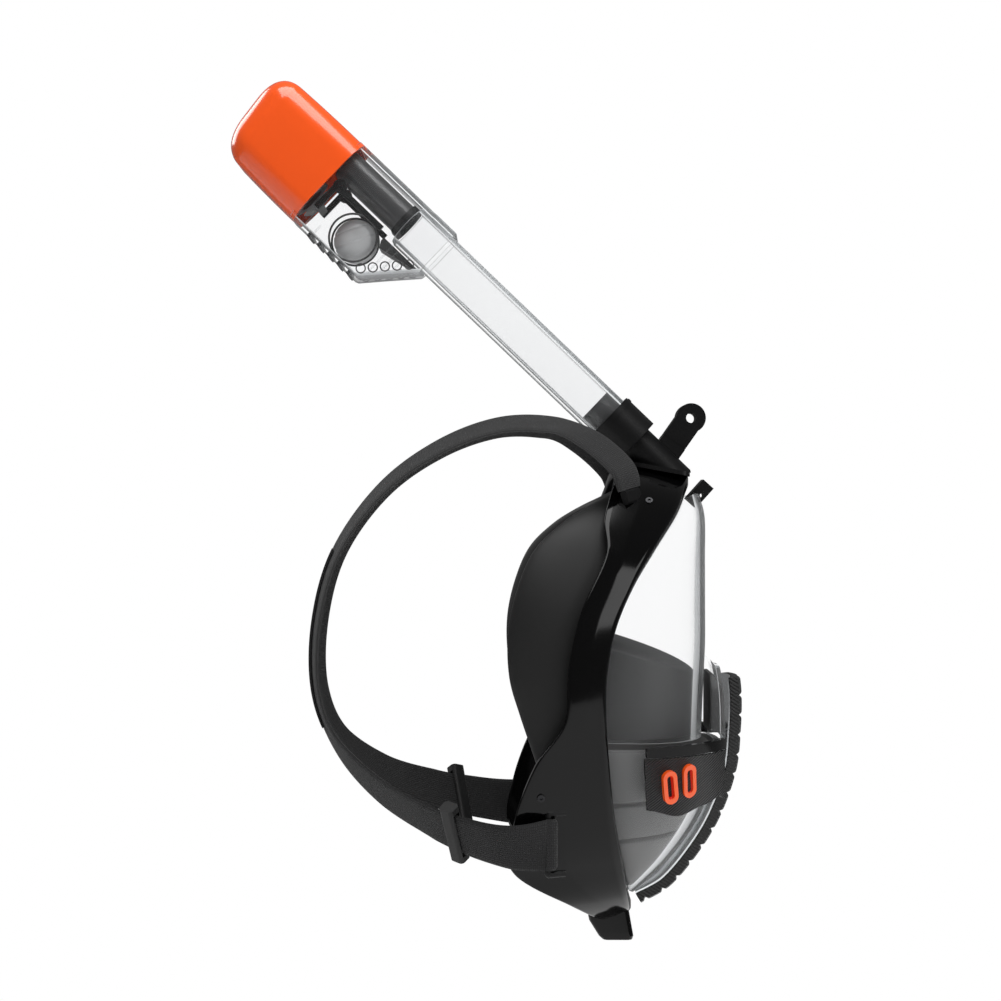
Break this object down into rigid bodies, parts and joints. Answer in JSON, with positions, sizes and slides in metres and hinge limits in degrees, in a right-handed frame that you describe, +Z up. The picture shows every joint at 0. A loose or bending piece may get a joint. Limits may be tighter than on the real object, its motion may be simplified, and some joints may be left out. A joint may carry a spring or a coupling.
{
  "type": "full face snorkel",
  "caption": "Full face diving mask with a leaning dry-top snorkel, clear lens, silicone face skirt, camera eye and elastic head strap.",
  "frame": {"origin": "in the middle of the face opening, where the wearer's face rests in the skirt", "axes": "+X forward out of the lens, +Y to the wearer's left, +Z up"},
  "size_m": [0.2611, 0.1804, 0.4415],
  "materials": {
    "gloss_black": "gloss",
    "clear": "clear polished",
    "black_silicone": "matte",
    "grey_silicone": "matte",
    "orange": "gloss",
    "matte_black": "matte",
    "dark_grey": "satin",
    "ball_grey": "satin",
    "chrome_trim": "bright",
    "steel": "satin",
    "webbing": "woven elastic"
  },
  "bodies": {
    "mask": {"frame": "gloss_black", "chin_lug": "gloss_black", "lens": "clear", "front_hood": "clear", "chin_shell": "clear", "chin_duct": "grey_silicone", "skirt": "black_silicone", "nose_pocket": "grey_silicone", "chin_cover": "matte_black", "cover_trim": "chrome_trim", "lens_clip": "gloss_black", "frame_screws": "steel", "vent_panel_left": "matte_black", "vent_panel_right": "matte_black", "vent_rings_left": "orange", "vent_rings_right": "orange", "trim_bar_left": "gloss_black", "trim_bar_right": "gloss_black", "inhale_seat_left": "dark_grey", "inhale_seat_right": "dark_grey", "drain_seat": "dark_grey", "strap_left": "webbing", "strap_right": "webbing", "strap_joiner": "webbing", "strap_bar_left": "matte_black", "strap_bar_right": "matte_black", "keeper_left": "matte_black", "keeper_right": "matte_black", "strap_tip_left": "matte_black", "strap_tip_right": "matte_black", "socket": "gloss_black", "camera_mount": "gloss_black"},
    "snorkel": {"neck": "matte_black", "collar": "matte_black", "tube_plug": "dark_grey", "seal_ring": "grey_silicone", "snorkel_tube": "clear", "dry_top_housing": "clear", "inhale_channel": "dark_grey", "channel_ring": "matte_black", "channel_duct": "dark_grey", "top_cap": "orange", "valve_seat": "black_silicone", "lever_pin": "steel"},
    "float": {"float_ball": "ball_grey"},
    "lever": {"float_lever": "matte_black", "valve_pad": "grey_silicone"},
    "inhale_left": {"inhale_disc_left": "grey_silicone"},
    "inhale_right": {"inhale_disc_right": "grey_silicone"},
    "drain": {"drain_disc": "grey_silicone"}
  },
  "joints": [
    {"name": "snorkel_pull", "type": "slide", "parent": "mask", "child": "snorkel", "axis": [-0.7218, 0, 0.6921], "range_m": [0, 0.03]},
    {"name": "float_rise", "type": "slide", "parent": "snorkel", "child": "float", "axis": [-0.7218, 0, 0.6921], "range_m": [0, 0.006]},
    {"name": "valve_swing", "type": "hinge", "parent": "snorkel", "child": "lever", "pos_m": [-0.1067, 0, 0.25162], "axis": [0, 1, 0], "range_deg": [0, 5]},
    {"name": "inhale_left_lift", "type": "slide", "parent": "mask", "child": "inhale_left", "axis": [0.342, 0.9397, 0], "range_m": [0, 0.0012], "stiffness_N_per_m": 30},
    {"name": "inhale_right_lift", "type": "slide", "parent": "mask", "child": "inhale_right", "axis": [0.342, -0.9397, 0], "range_m": [0, 0.0012], "stiffness_N_per_m": 30},
    {"name": "drain_lift", "type": "slide", "parent": "mask", "child": "drain", "axis": [0.6691, 0, -0.7431], "range_m": [0, 0.0015], "stiffness_N_per_m": 30}
  ],
  "couplings": [
    {"joint": "valve_swing", "follows": "float_rise", "rad_per_m": 14.5}
  ]
}
